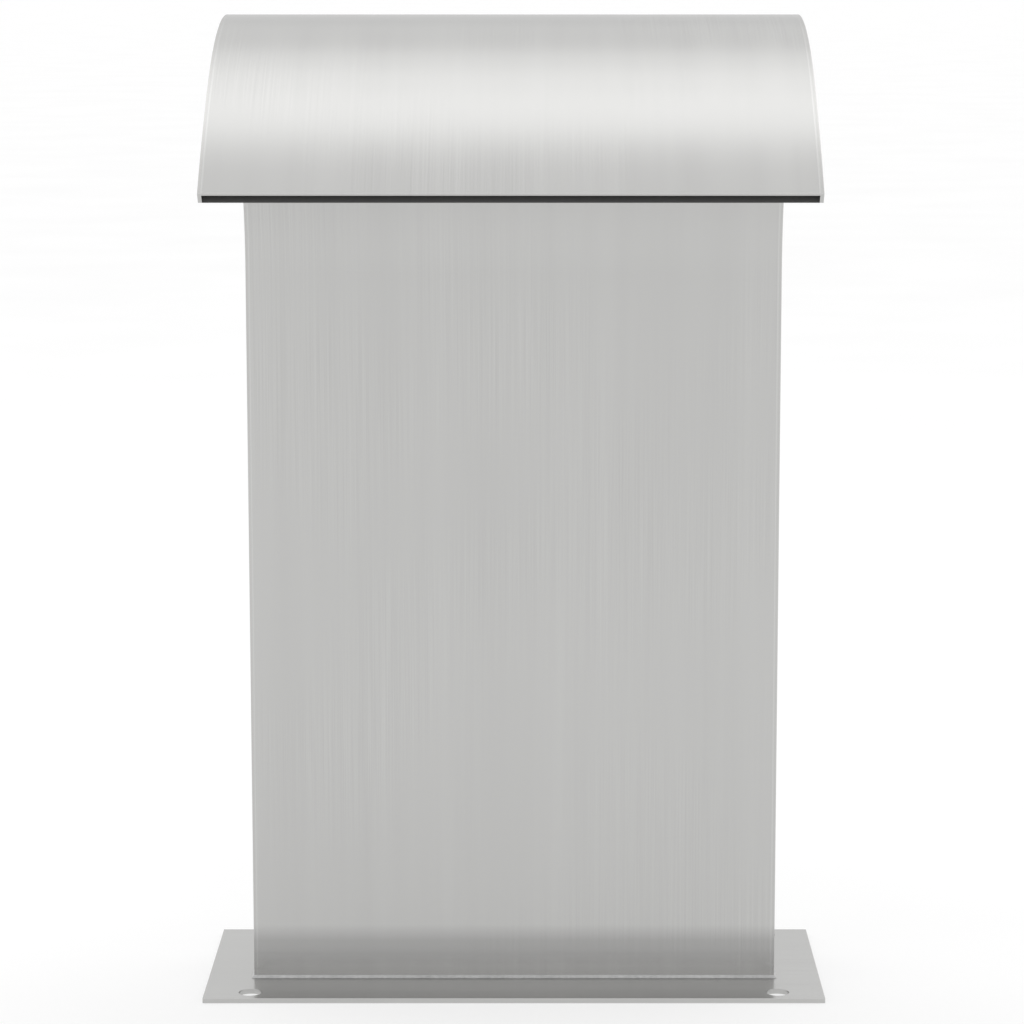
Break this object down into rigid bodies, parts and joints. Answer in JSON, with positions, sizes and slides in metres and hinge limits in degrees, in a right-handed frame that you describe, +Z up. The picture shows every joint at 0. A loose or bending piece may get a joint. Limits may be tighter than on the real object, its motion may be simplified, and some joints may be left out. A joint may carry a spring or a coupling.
{
  "type": "deck-mounted garden water spout",
  "caption": "Flat hollow sheet-steel column on a bolted base plate, curving forward into a wide hood with a thin water outlet slot; supply union at the back.",
  "frame": {"origin": "centre of the base plate's underside", "axes": "+X across the width, -Y the way the hood leans and the water falls, +Y the back with the supply inlet, +Z up"},
  "size_m": [0.37, 0.4009, 0.583],
  "materials": {
    "sheet_steel": "vertical brushed grain",
    "cheek_steel": "vertical brushed grain",
    "plate_steel": "brushed along its width",
    "weld_steel": "cleaned weld bead",
    "inner_steel": "unpolished mill finish",
    "turned_steel": "turned",
    "nut_steel": "machined, chamfered corners",
    "seal_rubber": "matt black EPDM"
  },
  "bodies": {
    "spout": {"base_plate": "plate_steel", "side_plate_left": "cheek_steel", "side_plate_right": "cheek_steel", "front_sheet": "sheet_steel", "back_sheet": "sheet_steel", "foot_weld": "weld_steel", "column_stays": "inner_steel", "hood_stays": "inner_steel", "outlet_spacers": "inner_steel", "diffuser_plate": "inner_steel", "diffuser_ledges": "inner_steel", "inlet_baffle": "inner_steel", "inlet_pad": "turned_steel", "inlet_tube": "turned_steel", "inlet_collar": "turned_steel", "inlet_gasket": "seal_rubber", "drain_boss": "turned_steel", "drain_washer": "seal_rubber", "drain_plug": "nut_steel"},
    "nut": {"union_nut": "nut_steel"}
  },
  "joints": [
    {"name": "nut_spin", "type": "hinge", "parent": "spout", "child": "nut", "pos_m": [0, 0.0577, 0.064], "axis": [0, 1, 0], "continuous": true}
  ]
}
